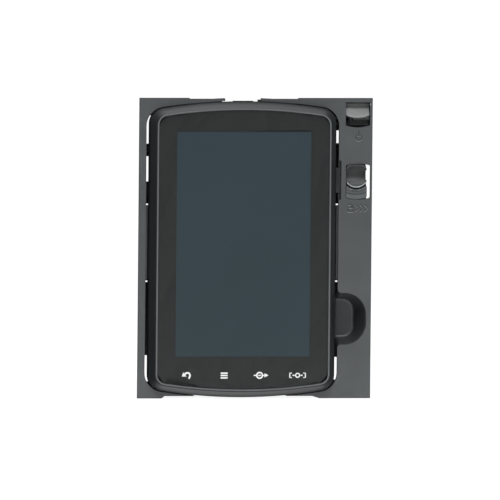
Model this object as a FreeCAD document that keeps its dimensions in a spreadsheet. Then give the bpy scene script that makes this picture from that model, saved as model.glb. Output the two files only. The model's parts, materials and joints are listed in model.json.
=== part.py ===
# A touch-screen handheld seated in a moulded panel dock.
# Millimetres. X runs right, Y runs back (the screen faces -Y), Z runs up.
# Depths in the sheet count back from the front face of the dock's plate; front_shift
# then moves every piece so that the whole is centred on Y = 0.
import FreeCAD
import Part
import math
import os
import re

V = FreeCAD.Vector
Rot = FreeCAD.Rotation
Place = FreeCAD.Placement

doc = FreeCAD.newDocument("collector_in_dock")
sheet = doc.addObject("Spreadsheet::Sheet", "dims")

SIZES = {
    "front_shift": -7.75,
    # dock plate
    "plate_w": 158.75,
    "plate_high": 203.2,
    "plate_front": 0.0,
    "plate_back": 3.0,
    "foot_rise": 1.6,
    "foot_left_end": -60.85,
    "foot_left_slope": 2.25,
    "foot_right_start": 39.7,
    "foot_right_slope": 5.2,
    "top_relief": 0.6,
    "relief_left": -45.4,
    "relief_right": 28.8,
    # pocket for the handheld
    "hand_x": -9.0,
    "pocket_half": 65.65,
    "pocket_low": 0.2,
    "pocket_high": 201.4,
    "pocket_corner": 13.0,
    "bow_radius": 350.0,
    "wall_thick": 1.8,
    "floor_front": 18.2,
    "floor_back": 20.5,
    "notch_half": 12.2,
    "top_pad_half": 6.8,
    "top_pad_high": 201.2,
    "latch_window_deep": 1.7,
    "rear_low": 9.9,
    "rear_bar_low": 35.0,
    "rear_bar_high": 49.0,
    "rear_bar_top_low": 163.5,
    "rear_bar_top_high": 170.8,
    "rear_high": 190.8,
    "rear_top": 199.5,
    "rear_open_left": -64.0,
    "rear_open_right": 46.5,
    "ear_right": 68.0,
    "gap_left_start": -75.0,
    "gap_left_end": -69.0,
    "gap_right_start": 55.4,
    "gap_right_end": 60.2,
    "bridge_front": 15.2,
    "bridge_half": 46.0,
    "bridge_low": 197.4,
    "bridge_step": 199.0,
    "bridge_high": 201.2,
    "sill_half": 31.0,
    "sill_low": 1.8,
    "sill_top": 4.2,
    "sill_high": 5.0,
    "skirt_high": 202.4,
    "relief_deep": 198.6,
    "side_post_r": 1.9,
    "side_post_front": 12.6,
    # mounting posts
    "post_x": 71.5,
    "post_low": 5.0,
    "post_high": 197.0,
    "post_r": 4.5,
    "post_back": 24.0,
    "insert_front": 16.0,
    "insert_r": 2.8,
    "insert_bore": 2.0,
    # thumb scoop
    "scoop_left": 54.0,
    "scoop_right": 76.2,
    "scoop_low": 36.1,
    "scoop_high": 71.6,
    "scoop_corner": 15.0,
    "scoop_floor_right": 69.6,
    "scoop_floor_low": 40.6,
    "scoop_floor_high": 66.3,
    "scoop_floor_corner": 7.5,
    "scoop_wall": 1.8,
    "scoop_back": 17.8,
    "scoop_shell_back": 19.6,
    "scoop_fillet": 1.4,
    "scoop_lip": 2.2,
    # release latch
    "slot_left": 61.4,
    "slot_right": 78.15,
    "slot_low": 134.5,
    "slot_high": 158.8,
    "slot_bow": 30.0,
    "slot_corner": 1.2,
    "knob_left": 61.75,
    "knob_right": 75.3,
    "knob_foot_right": 75.85,
    "knob_foot_high": 143.4,
    "knob_gap": 0.35,
    "knob_bow": 22.0,
    "knob_front": 0.4,
    "carrier_front": 3.3,
    "carrier_back": 4.8,
    "carrier_left": 59.2,
    "carrier_low": 132.5,
    "carrier_high": 161.0,
    "nose_tip": 55.0,
    "nose_low": 139.0,
    "nose_high": 156.0,
    "pad_x": 68.4,
    "pad_mid": 151.15,
    "pad_r": 8.45,
    "pad_front": -1.6,
    "pad_groove_r": 9.3,
    "pad_groove_back": 1.2,
    "ledge_r": 10.4,
    "ledge_front": -0.4,
    "dish_r": 7.6,
    "dish_floor_r": 8.85,
    "dish_floor_y": -6.25,
    "dish_floor_z": 151.6,
    "line_mid": 157.4,
    "line_r": 19.0,
    "line_w": 0.4,
    "line_back": 0.9,
    "lug_left": 62.6,
    "lug_right": 64.6,
    "lug_back": 8.4,
    "stop_left": 74.2,
    "stop_right": 75.6,
    "stop_front": 5.2,
    "cover_front": 8.9,
    "cover_back": 10.4,
    "spring_low": 137.2,
    "spring_high": 156.2,
    "spring_depth": 6.8,
    "cover_screw_x": 66.0,
    "cover_screw_low": 128.4,
    "cover_screw_high": 165.0,
    # power paddle
    "well_left": 61.0,
    "well_right": 77.7,
    "well_low": 183.3,
    "well_high": 200.4,
    "well_sag": 1.4,
    "well_back": 11.5,
    "box_left": 59.2,
    "box_right": 79.0,
    "box_low": 181.7,
    "box_high": 202.3,
    "box_back": 13.0,
    "paddle_left": 61.4,
    "paddle_right": 77.3,
    "pin_depth": 6.2,
    "pin_mid": 198.4,
    "pin_r": 0.8,
    "barrel_r": 1.7,
    "lip_front": 0.8,
    "lip_low": 189.6,
    "tongue_thick": 1.7,
    "tongue_bow": 17.5,
    "apron_left": 66.4,
    "plunger_tip": 55.3,
    "plunger_low": 184.7,
    "plunger_high": 186.7,
    "plunger_front": 6.3,
    "plunger_back": 8.9,
    # handheld shell
    "shell_half": 63.7,
    "shell_low": 0.8,
    "shell_high": 200.8,
    "shell_corner": 11.0,
    "shell_front": -7.9,
    "shell_shoulder": -4.0,
    "shell_wide": 0.0,
    "front_end": 3.8,
    "rear_start": 4.4,
    "rear_waist": 10.0,
    "rear_wall": 15.3,
    "rear_end": 17.3,
    "ledge": -7.0,
    "front_wall_back": -4.8,
    "inner_half": 59.0,
    "inner_half_rear": 56.0,
    # screen stack
    "ring_front": -8.5,
    "ring_half": 59.15,
    "ring_low": 5.55,
    "ring_high": 196.65,
    "ring_corner": 7.5,
    "ring_line": 0.95,
    "glass_front": -8.35,
    "glass_back": -7.3,
    "display_w": 91.44,
    "display_high": 152.4,
    "display_mid": 104.9,
    "panel_w": 96.0,
    "panel_high": 160.0,
    "panel_front": -6.9,
    "panel_back": -5.6,
    "light_back": -3.0,
    "tray_w": 98.8,
    "tray_high": 162.8,
    "tray_back": -1.8,
    "tray_lip": 1.2,
    "key_strip_half": 45.5,
    "key_strip_low": 9.4,
    "key_strip_high": 21.0,
    "key_strip_back": -6.6,
    # electronics
    "board_w": 98.0,
    "board_high": 176.0,
    "board_low": 13.0,
    "board_front": 0.2,
    "board_back": 1.8,
    # battery and rear details
    "bay_half": 32.0,
    "bay_low": 57.0,
    "bay_high": 135.0,
    "bay_wall": 1.5,
    "bay_floor": 7.0,
    "bay_inside": 8.5,
    "pack_back": 22.0,
    "pack_gap": 0.3,
    "flap_low": 15.9,
    "flap_high": 32.1,
    "flap_left": -49.6,
    "flap_right": -22.4,
    "flap_front": 16.1,
    "flap_face": 16.4,
    "flap_round": 0.45,
    "button_half": 7.5,
    "button_low": 137.0,
    "button_high": 146.0,
    "catch_floor": 13.0,
    "catch_high": 152.0,
    "tongue_front": 14.6,
    "tongue_back": 16.2,
    "key_front": 5.5,
    "key_back": 9.5,
    "stem_front": 6.4,
    "stem_back": 8.6,
    "screw_x": 52.9,
}

for row, (alias, size) in enumerate(SIZES.items(), start=1):
    sheet.set(f"A{row}", alias)
    sheet.set(f"B{row}", str(size))
    sheet.setAlias(f"B{row}", alias)
doc.recompute()

nodes = []


def val(name):
    """A size read back from the sheet."""
    return float(sheet.get(name))


def linked(text):
    """Turn words such as 'plate_w / 2' into an expression on the sheet."""
    return re.sub(r"[a-z_]+", lambda word: f"dims.{word[0]}" if word[0] in SIZES else word[0], text)


def amount(text):
    """The present value of such an expression."""
    return float(sheet.evalExpression(text)) if isinstance(text, str) else float(text)


def bind(obj, prop, text):
    """Tie a property to the sheet, or set it where the size is a plain number."""
    obj.setExpression(prop, linked(text) if isinstance(text, str) else str(text))


def finish(obj, label):
    """Name a piece and move it back into the shared frame."""
    obj.Label = label
    bound = dict(obj.ExpressionEngine)
    start = bound.get(".Placement.Base.y") or bound.get("Placement.Base.y") or obj.Placement.Base.y
    obj.setExpression("Placement.Base.y", f"{start} + dims.front_shift")
    nodes.append(obj)
    return obj


# ---------------------------------------------------------------- outlines
def bowed(half, low, high, corner, middle=None, bow=None):
    """Outline with straight sides, bowed top and bottom, and round corners."""
    middle = val("hand_x") if middle is None else middle
    bow = val("bow_radius") if bow is None else bow
    run = half - corner
    rise = math.sqrt((bow - corner) ** 2 - run**2)
    reach = bow / (bow - corner)
    turn = math.atan2(rise, run)
    upper = high - bow
    lower = low + bow

    def point(side, level, angle):
        centre = upper + rise if level > 0 else lower - rise
        return V(
            middle + side * (run + corner * math.cos(angle)), centre + level * corner * math.sin(angle), 0
)

    def corner_arc(side, level):
        return Part.Arc(point(side, level, 0), point(side, level, turn / 2), point(side, level, turn))

    top_right = V(middle + run * reach, upper + rise * reach, 0)
    top_left = V(middle - run * reach, upper + rise * reach, 0)
    low_right = V(middle + run * reach, lower - rise * reach, 0)
    low_left = V(middle - run * reach, lower - rise * reach, 0)
    return [
        Part.LineSegment(point(1, -1, 0), point(1, 1, 0)),
        corner_arc(1, 1),
        Part.Arc(top_right, V(middle, high, 0), top_left),
        corner_arc(-1, 1),
        Part.LineSegment(point(-1, 1, 0), point(-1, -1, 0)),
        corner_arc(-1, -1),
        Part.Arc(low_left, V(middle, low, 0), low_right),
        corner_arc(1, -1),
    ]


def polygon(points):
    corners = [V(x, z, 0) for x, z in points]
    return [Part.LineSegment(a, b) for a, b in zip(corners, corners[1:] + corners[:1])]


def rect(left, right, low, high):
    return polygon([(left, low), (right, low), (right, high), (left, high)])


def around(middle_x, middle_z, wide, high):
    return rect(middle_x - wide / 2, middle_x + wide / 2, middle_z - high / 2, middle_z + high / 2)


def hand_rect(left, right, low, high):
    """A rectangle measured across from the handheld's own middle."""
    return rect(val("hand_x") + left, val("hand_x") + right, low, high)


def circle(x, z, r):
    return [Part.Circle(V(x, z, 0), V(0, 0, 1), r)]


def sagging(left, right, low, high, sag):
    """A rectangle whose lower edge sags to low in the middle."""
    side = low + sag
    return [
        Part.LineSegment(V(right, side, 0), V(right, high, 0)),
        Part.LineSegment(V(right, high, 0), V(left, high, 0)),
        Part.LineSegment(V(left, high, 0), V(left, side, 0)),
        Part.Arc(V(left, side, 0), V((left + right) / 2, low, 0), V(right, side, 0)),
    ]


def scoop_outline(left, right, low, high, corner):
    """A rectangle with both right-hand corners well rounded."""
    x = right - corner
    reach = corner * math.sqrt(0.5)
    return [
        Part.LineSegment(V(left, low, 0), V(x, low, 0)),
        Part.Arc(V(x, low, 0), V(x + reach, low + corner - reach, 0), V(right, low + corner, 0)),
        Part.LineSegment(V(right, low + corner, 0), V(right, high - corner, 0)),
        Part.Arc(V(right, high - corner, 0), V(x + reach, high - corner + reach, 0), V(x, high, 0)),
        Part.LineSegment(V(x, high, 0), V(left, high, 0)),
        Part.LineSegment(V(left, high, 0), V(left, low, 0)),
    ]


def scoop_around(extra):
    """The scoop's rim, moved outwards."""
    return scoop_outline(
        val("scoop_left") - extra,
        val("scoop_right") + extra,
        val("scoop_low") - extra,
        val("scoop_high") + extra,
        val("scoop_corner") + extra,
    )


class Moulding:
    """A body made of prisms that run along Y between two depths of the sheet."""

    def __init__(self, label):
        self.label = label
        self.count = 0
        self.body = doc.addObject("PartDesign::Body", label + "_body")
        if hasattr(self.body, "AllowCompound"):
            self.body.AllowCompound = True
        self.plane = [f for f in self.body.Origin.OriginFeatures if f.Role == "XZ_Plane"][0]

    def sketch(self, edges, depth):
        self.count += 1
        outline = self.body.newObject("Sketcher::SketchObject", f"{self.label}_outline_{self.count}")
        outline.AttachmentSupport = [(self.plane, "")]
        outline.MapMode = "FlatFace"
        outline.AttachmentOffset = Place(V(0, 0, -amount(depth)), Rot())
        bind(outline, "AttachmentOffset.Base.z", f"-({depth})")
        outline.addGeometry(edges, False)
        return outline

    def add(self, edges, front, back):
        pad = self.body.newObject("PartDesign::Pad", f"{self.label}_pad_{self.count}")
        pad.Profile = self.sketch(edges, front)
        bind(pad, "Length", f"({back}) - ({front})")
        pad.Reversed = True
        self.last = pad
        return self

    def cut(self, edges, front, back):
        pocket = self.body.newObject("PartDesign::Pocket", f"{self.label}_pocket_{self.count}")
        pocket.Profile = self.sketch(edges, front)
        bind(pocket, "Length", f"({back}) - ({front})")
        self.last = pocket
        return self

    def loft(self, sections, cutting=False):
        kind = "PartDesign::SubtractiveLoft" if cutting else "PartDesign::AdditiveLoft"
        feature = self.body.newObject(kind, f"{self.label}_loft_{self.count}")
        outlines = [self.sketch(edges, depth) for edges, depth in sections]
        feature.Profile = outlines[0]
        feature.Sections = outlines[1:]
        self.last = feature
        return self

    def fillet(self, radius, choose):
        """Round the edges that choose(edge) picks from the last feature."""
        doc.recompute()
        names = [f"Edge{i}" for i, edge in enumerate(self.last.Shape.Edges, start=1) if choose(edge)]
        feature = self.body.newObject("PartDesign::Fillet", f"{self.label}_fillet_{self.count}")
        feature.Base = (self.last, names)
        bind(feature, "Radius", radius)
        self.last = feature
        return self

    def done(self):
        return finish(self.body, self.label)


# -------------------------------------------------------------- primitives
def block(name, x, y, z):
    """A box between (start, end) pairs of sheet expressions or numbers."""
    box = doc.addObject("Part::Box", name)
    for prop, axis, (start, end) in (("Length", "x", x), ("Width", "y", y), ("Height", "z", z)):
        bind(box, prop, f"({end}) - ({start})")
        bind(box, f"Placement.Base.{axis}", f"({start}) + 0")
    return box


AXES = {"x": Rot(V(0, 1, 0), 90), "y": Rot(V(1, 0, 0), -90), "z": Rot()}


def rod(name, axis, radius, start, length):
    """A cylinder that starts at an (x, y, z) point and runs along an axis."""
    cylinder = doc.addObject("Part::Cylinder", name)
    cylinder.Placement = Place(V(), AXES[axis])
    bind(cylinder, "Radius", radius)
    bind(cylinder, "Height", length)
    for key, text in zip("xyz", start):
        bind(cylinder, f"Placement.Base.{key}", text)
    return cylinder


def fuse(name, pieces):
    union = doc.addObject("Part::MultiFuse", name)
    union.Shapes = pieces
    union.Refine = True
    return union


def cut(name, base, tool):
    result = doc.addObject("Part::Cut", name)
    result.Base = base
    result.Tool = tool
    return result


def common(name, pieces):
    shared = doc.addObject("Part::MultiCommon", name)
    shared.Shapes = pieces
    return shared


def group(name, pieces):
    """Separate solids that make one piece, such as a set of screws."""
    together = doc.addObject("Part::Compound", name)
    together.Links = pieces
    return together


def screws(label, spots, head_r, head, shaft_r, shaft):
    """Pan-head screws along Y at (x, z) spots, each with a cross recess."""
    front, back = head
    recess_depths = (f"({back}) - 0.6", f"({back}) + 1")
    solids = []
    for i, (x, z) in enumerate(spots, start=1):
        top = rod(f"{label}_head_{i}", "y", head_r, (x, front, z), f"({back}) - ({front})")
        stem = rod(f"{label}_stem_{i}", "y", shaft_r, (x, shaft, z), f"({front}) - ({shaft}) + 0.2")
        screw = fuse(f"{label}_screw_{i}", [top, stem])
        arms = [
            block(f"{label}_{name}_{i}", (x - wide, x + wide), recess_depths, (z - tall, z + tall))
            for name, wide, tall in (("across", 1.2, 0.2), ("upright", 0.2, 1.2))
        ]
        solids.append(cut(f"{label}_cross_{i}", screw, fuse(f"{label}_recess_{i}", arms)))
    return finish(group(label + "_set", solids), label)


def coil(start, end, axis, radius, wire_r, turns):
    """A compression spring between two places on an axis through start."""
    length = (end - start).Length - 2 * wire_r
    helix = Part.makeHelix(length / turns, length, radius)
    section = Part.Wire(Part.makeCircle(wire_r, V(radius, 0, 0), V(0, 1, 0)))
    shape = Part.Wire(helix.Edges).makePipeShell([section], True, True)
    shape.Placement = Place(start + (end - start).normalize() * wire_r, AXES[axis])
    return shape


def springs(label, shapes):
    piece = doc.addObject("Part::Feature", label + "_wire")
    piece.Shape = shapes[0] if len(shapes) == 1 else Part.makeCompound(shapes)
    return finish(piece, label)


# =================================================================== dock
edge_x = val("plate_w") / 2
hx = val("hand_x")
wall = val("wall_thick")
pocket = bowed(val("pocket_half"), val("pocket_low"), val("pocket_high"), val("pocket_corner"))
outer = bowed(
    val("pocket_half") + wall, val("pocket_low") - wall, val("pocket_high") + wall, val(
        "pocket_corner"
) + wall
)
POSTS = [(side * val("post_x"), z) for side in (-1, 1) for z in (val("post_low"), val("post_high"))]
BACK_SCREWS_LEFT = [(-72.0, 62.0), (-72.0, 138.0), (-72.0, 167.2)]
BACK_SCREWS_RIGHT = [(64.0, 20.0), (64.0, 100.0), (64.0, 175.0)]
COVER_SCREWS = [
    (val("cover_screw_x"), val("cover_screw_low")), (val("cover_screw_x"), val("cover_screw_high"))
]
# places where light passes between the handheld and the dock, as heights on the rear floor
GAPS_LEFT = [(8.9, 28.0), (77.5, 78.6), (129.6, 130.7), (145.6, 162.7), (171.2, 190.3)]
GAPS_RIGHT = [(7.4, 26.7), (77.5, 78.6), (129.6, 130.7), (171.6, 180.3), (188.7, 189.9)]
GAP_RISE = 1.2

frame = Moulding("dock_frame")
foot = val("foot_rise")
foot_left = val("foot_left_end")
foot_right = val("foot_right_start")
relief = val("plate_high") - val("top_relief")
frame.add(
    polygon(
        [
            (-edge_x, 0),
            (foot_left - val("foot_left_slope"), 0),
            (foot_left, foot),
            (foot_right, foot),
            (foot_right + val("foot_right_slope"), 0),
            (edge_x, 0),
            (edge_x, val("plate_high")),
            (val("relief_right"), val("plate_high")),
            (val("relief_right"), relief),
            (val("relief_left"), relief),
            (val("relief_left"), val("plate_high")),
            (-edge_x, val("plate_high")),
        ]
    ),
    "plate_front",
    "plate_back",
)
frame.add(outer, "plate_back - 0.5", "floor_front")
frame.add(scoop_around(val("scoop_wall")), "plate_back - 0.5", "scoop_shell_back")
frame.add(
    rect(val("box_left"), val("box_right"), val("box_low"), val("box_high")), "plate_back - 0.5", "box_back"
)
frame.add(
    rect(val("box_left"), val("box_right"), val("carrier_low") - 1.6, val("carrier_low") - 0.3)
    + rect(val("box_left"), val("box_right"), val("carrier_high") + 0.3, val("carrier_high") + 1.6),
    "plate_back - 0.5",
    "stop_front",
)
for x, z in COVER_SCREWS:
    frame.add(circle(x, z, 2.6), "plate_back - 0.5", "cover_front")
for x, z in BACK_SCREWS_RIGHT:
    frame.add(circle(x, z, 2.7), "plate_back - 0.5", "floor_front")
for x, z in POSTS:
    if z > 100:
        frame.add(circle(x, z, val("post_r")), "plate_back - 0.5", "post_back")
    else:
        frame.add(around(x, z, 2 * val("post_r"), 2 * z), "plate_back - 0.5", "post_back")
# nothing may show above or below the plate
above = val("plate_high") + 3
below = -3.0
frame.cut(rect(-edge_x - 1, edge_x + 1, val("skirt_high"), above), "plate_back", "post_back + 1")
frame.cut(rect(foot_left, foot_right, below, foot), "plate_front - 1", "post_back + 1")
frame.cut(
    rect(val("relief_left"), val("relief_right"), val("relief_deep"), above), "plate_back", "post_back + 1"
)
frame.cut(
    hand_rect(-val("sill_half"), val("sill_half"), below, val("sill_high")), "plate_back", "floor_front + 1"
)
# the pocket, its latch window and its finger notch
frame.cut(pocket, "plate_front - 1", "floor_front + 1")
notch = val("notch_half")
frame.cut(hand_rect(-notch, notch, val("bridge_step"), above), "plate_front - 1", "plate_back + 1")
pocket_right = hx + val("pocket_half")
frame.cut(
    rect(pocket_right - 1, pocket_right + val("latch_window_deep"), val("slot_low"), val("carrier_high")),
    "plate_front - 1",
    "plate_back",
)
frame.cut(
    rect(pocket_right - 1, val("box_left"), val("nose_low") - 0.6, val("nose_high") + 0.6),
    "plate_back",
    "carrier_back + 0.5",
)
for low, high in GAPS_RIGHT:
    gap_outline = rect(pocket_right - 1, pocket_right + wall + 1, low - 0.2, high + GAP_RISE)
    frame.cut(gap_outline, "plate_back", "floor_front + 1")
# two slim bridges behind the handheld join the left and right halves
bridge = val("bridge_half")
step = val("bridge_step")
frame.add(hand_rect(-bridge, bridge, val("bridge_low"), val("rear_top")), "bridge_front", "floor_front")
for left, right in ((-bridge, -notch), (notch, bridge)):
    frame.add(hand_rect(left, right, step, val("bridge_high")), "bridge_front", "floor_front")
frame.add(
    hand_rect(-bridge - 2, bridge + 2, val("sill_low"), val("sill_top")), "bridge_front", "floor_front"
)
# the thumb scoop: a tapered wall down to a small flat floor
scoop_floor = scoop_outline(
    val("scoop_left"),
    val("scoop_floor_right"),
    val("scoop_floor_low"),
    val("scoop_floor_high"),
    val("scoop_floor_corner"),
)
frame.loft([(scoop_around(0), "plate_front - 0.2"), (scoop_floor, "scoop_back")], cutting=True)
frame.fillet(
    "scoop_fillet",
    lambda e: abs(e.BoundBox.YMin - val("scoop_back")) < 0.01
    and e.BoundBox.YLength < 0.01
    and e.BoundBox.XMax > pocket_right + 1
    and e.BoundBox.XMax < val("scoop_floor_right") + 0.1
    and e.BoundBox.ZMin > val("scoop_floor_low") - 0.1
    and e.BoundBox.ZMax < val("scoop_floor_high") + 0.1,
)
frame.fillet(
    "scoop_lip",
    lambda e: e.BoundBox.XLength < 0.01
    and abs(e.BoundBox.XMin - pocket_right) < 0.01
    and e.BoundBox.YLength > 10
    and 3 < e.BoundBox.ZLength < 6
    and val("scoop_low") - 1 < e.BoundBox.ZMin
    and e.BoundBox.ZMax < val("scoop_high") + 1,
)
# the latch slot, open behind it to the right
slot_mid = (val("slot_left") + val("slot_right")) / 2
slot = bowed(
    slot_mid - val("slot_left"), val("slot_low"), val("slot_high"), val(
        "slot_corner"
), slot_mid, val("slot_bow")
)
frame.cut(slot, "plate_front - 1", "plate_back + 1")
# the power well, closed at the back, with a way out for the plunger
well = sagging(val("well_left"), val("well_right"), val("well_low"), val("well_high"), val("well_sag"))
frame.cut(well, "plate_front - 1", "well_back")
frame.cut(
    rect(pocket_right - 1, val("well_left") + 0.5, val("plunger_low") - 0.15, val("plunger_high") + 0.15),
    "plunger_front - 0.15",
    "plunger_back + 0.15",
)
# bores for the inserts and the screws
for x, z in POSTS:
    frame.cut(circle(x, z, val("insert_r")), "insert_front", "post_back + 1")
for x, z in COVER_SCREWS:
    frame.cut(circle(x, z, 0.9), "plate_back + 1", "cover_front + 1")
for x, z in BACK_SCREWS_RIGHT:
    frame.cut(circle(x, z, 1.0), "floor_front - 7", "floor_front + 1")
# posts for the left-hand screws, each on a web from the pocket wall
side_pieces = []
for i, (x, z) in enumerate(BACK_SCREWS_LEFT, start=1):
    post = rod(
        f"side_post_{i}", "y", "side_post_r", (x, "side_post_front", z), "floor_front - side_post_front"
)
    bore = rod(f"side_post_bore_{i}", "y", 1.0, (x, "side_post_front + 0.4", z), 8.0)
    side_pieces.append(cut(f"side_post_bored_{i}", post, bore))
    web_heights = (f"{z} - side_post_r", f"{z} + side_post_r")
    side_pieces.append(
        block(f"side_web_{i}", (-75.2, -73.5), ("side_post_front", "floor_front"), web_heights)
)
# the hinge pin's bore runs across the power well
pin_bore = rod("pin_bore", "x", "pin_r + 0.02", (60.0, "pin_depth", "pin_mid"), 18.8)
dock_frame = cut("dock_frame_bored", fuse("dock_frame_joined", [frame.body] + side_pieces), pin_bore)
finish(dock_frame, "dock_frame")

back = Moulding("dock_back")
back.add(outer, "floor_front", "floor_back")
back.add(rect(val("rear_open_right"), val("ear_right"), 11.5, 180.6), "floor_front", "floor_back")
THROUGH_BACK = ("floor_front - 1", "floor_back + 1")
back.cut(rect(-edge_x, edge_x, val("rear_top"), above), *THROUGH_BACK)
back.cut(rect(-edge_x, edge_x, below, 2.0), *THROUGH_BACK)
openings = [
    (val("rear_low"), val("rear_bar_low")),
    (val("rear_bar_high"), val("rear_bar_top_low")),
    (val("rear_bar_top_high"), val("rear_high")),
]
for low, high in openings:
    back.cut(rect(val("rear_open_left"), val("rear_open_right"), low, high), *THROUGH_BACK)
for low, high in GAPS_LEFT:
    back.cut(rect(val("gap_left_start"), val("gap_left_end"), low, high), *THROUGH_BACK)
for low, high in GAPS_RIGHT:
    back.cut(rect(val("gap_right_start"), val("gap_right_end"), low, high), *THROUGH_BACK)
back.cut(scoop_around(val("scoop_wall") + 0.2), *THROUGH_BACK)
foot_top = 2 * val("post_low") + 0.2
foot_inner = val("post_x") - val("post_r") - 0.2
for left, right in ((-edge_x, -foot_inner), (foot_inner, edge_x)):
    back.cut(rect(left, right, below, foot_top), *THROUGH_BACK)
back.cut(circle(-val("post_x"), val("post_high"), val("post_r") + 0.2), *THROUGH_BACK)
for x, z in BACK_SCREWS_LEFT + BACK_SCREWS_RIGHT:
    back.cut(circle(x, z, 1.15), *THROUGH_BACK)
back.cut(around(hx, 42.0, 27.0, 7.4), *THROUGH_BACK)
back.done()

back_screws = BACK_SCREWS_LEFT + BACK_SCREWS_RIGHT
screws("dock_screws", back_screws, 2.2, ("floor_back", "floor_back + 1.4"), 1.0, "floor_front - 4.6")

inserts = [
    cut(
        f"insert_{i}",
        rod(f"insert_outer_{i}", "y", "insert_r", (x, "insert_front", z), "post_back - insert_front"),
        rod(
            f"insert_bore_{i}", "y", "insert_bore", (x, "insert_front + 0.8", z), "post_back - insert_front"
),
    )
    for i, (x, z) in enumerate(POSTS, start=1)
]
finish(group("mount_insert_set", inserts), "mount_inserts")

pocket_left = hx - val("pocket_half")
guide_depths = (1.5, 12.2)
guide_heights = (80.6, 130.0)
guides = [
    block("guide_left", (pocket_left + 0.1, pocket_left + 1.3), guide_depths, guide_heights),
    block("guide_right", (pocket_right - 1.3, pocket_right - 0.1), guide_depths, guide_heights),
]
finish(group("side_guide_pair", guides), "side_guides")

pads = [
    block(f"rest_pad_{i}", (x - 7, x + 7), ("floor_front - 0.6", "floor_front"), (z - 1.8, z + 1.8))
    for i, (x, z) in enumerate([(-50.0, 167.2), (32.0, 167.2), (-50.0, 46.0), (32.0, 46.0)], start=1)
]
finish(group("rest_pads", pads), "dock_pads")

finish(
    block(
        "dock_board_slab",
        (-26.0, 30.0),
        ("floor_back", "floor_back + 1.2"),
        ("rear_bar_low", "rear_bar_high"),
), "dock_board"
)
CONTACT_X = [hx + 4.0 * (i - 2.5) for i in range(6)]
CONTACT_Z = 42.0
connector = Moulding("dock_connector")
connector.add(around(hx, CONTACT_Z, 26.4, 6.8), "floor_front + 0.1", "floor_back")
for x in CONTACT_X:
    connector.cut(circle(x, CONTACT_Z, 0.9), *THROUGH_BACK)
connector.done()
pins = [
    fuse(
        f"contact_pin_{i}",
        [
            rod(
                f"contact_barrel_{i}",
                "y",
                0.9,
                (x, "floor_front + 0.4", CONTACT_Z),
                "floor_back - floor_front - 0.4",
),
            rod(f"contact_tip_{i}", "y", 0.5, (x, "floor_front - 0.6", CONTACT_Z), 1.5),
        ],
    )
    for i, x in enumerate(CONTACT_X, start=1)
]
finish(group("contact_pin_row", pins), "connector_pins")
finish(
    cut(
        "power_socket_hollow",
        block("power_socket_body", (14.0, 24.0), ("floor_back + 1.2", "post_back"), (36.0, 44.0)),
        block("power_socket_mouth", (15.0, 23.0), ("floor_back + 1.7", "post_back - 0.5"), (35.0, 42.0)),
    ),
    "power_socket",
)

# ------------------------------------------------------------ release latch
knob_left = val("knob_left")
knob_right = val("knob_foot_right")
knob_gap = val("knob_gap")


def knob_layer(label, front):
    """The knob's arched outline as a prism that starts at front."""
    layer = Moulding(label)
    layer.add(
        bowed(
            (knob_right - knob_left) / 2,
            val("slot_low") + knob_gap,
            val("slot_high") - knob_gap,
            val("slot_corner"),
            (knob_left + knob_right) / 2,
            val("knob_bow"),
        ),
        front,
        "carrier_back",
    )
    return layer.body


def pad_rod(name, radius, front, back, mid="pad_mid"):
    """A cylinder along Y on the thumb pad's middle."""
    return rod(name, "y", radius, ("pad_x", front, mid), f"({back}) - ({front})")


knob = fuse(
    "latch_blank",
    [
        knob_layer("latch_face", "knob_front"),
        common(
            "latch_ledge",
            [
                knob_layer("latch_ledge_outline", "ledge_front"),
                pad_rod("ledge_round", "ledge_r", -4.0, 4.0),
],
),
        common(
            "latch_pad",
            [knob_layer("latch_pad_outline", "pad_front"), pad_rod("pad_round", "pad_r", -4.0, 4.0)],
),
        block(
            "carrier",
            ("carrier_left", "knob_foot_right"),
            ("carrier_front", "carrier_back"),
            ("carrier_low", "carrier_high"),
),
        block(
            "nose_arm",
            ("nose_tip", "carrier_left"),
            ("carrier_front", "carrier_back"),
            ("nose_low", "nose_high"),
),
        block(
            "lug_low",
            ("lug_left", "lug_right"),
            ("carrier_back", "lug_back"),
            ("spring_low - 2.2", "spring_low + 2.2"),
),
        block(
            "lug_high",
            ("lug_left", "lug_right"),
            ("carrier_back", "lug_back"),
            ("spring_high - 2.2", "spring_high + 2.2"),
),
    ],
)
groove = cut(
    "pad_groove",
    pad_rod("groove_outer", "pad_groove_r", -4.0, "pad_groove_back"),
    pad_rod("groove_inner", "pad_r", -5.0, "pad_groove_back + 1"),
)
fine_line = cut(
    "knob_line",
    pad_rod("line_outer", "line_r + line_w", -4.0, "line_back", "line_mid"),
    pad_rod("line_inner", "line_r", -5.0, "line_back + 1", "line_mid"),
)
dish = common(
    "thumb_dish",
    [
        pad_rod("dish_rim", "dish_r", -4.0, 5.0),
        rod("dish_floor", "x", "dish_floor_r", (50.0, "dish_floor_y", "dish_floor_z"), 40.0),
    ],
)
side_step = block(
    "knob_side_step", ("knob_right", "knob_foot_right + 1"), (-4.0, 6.0), ("knob_foot_high", 164.0)
)
finish(cut("latch_shape", knob, fuse("latch_tools", [groove, fine_line, dish, side_step])), "latch_slide")

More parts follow.
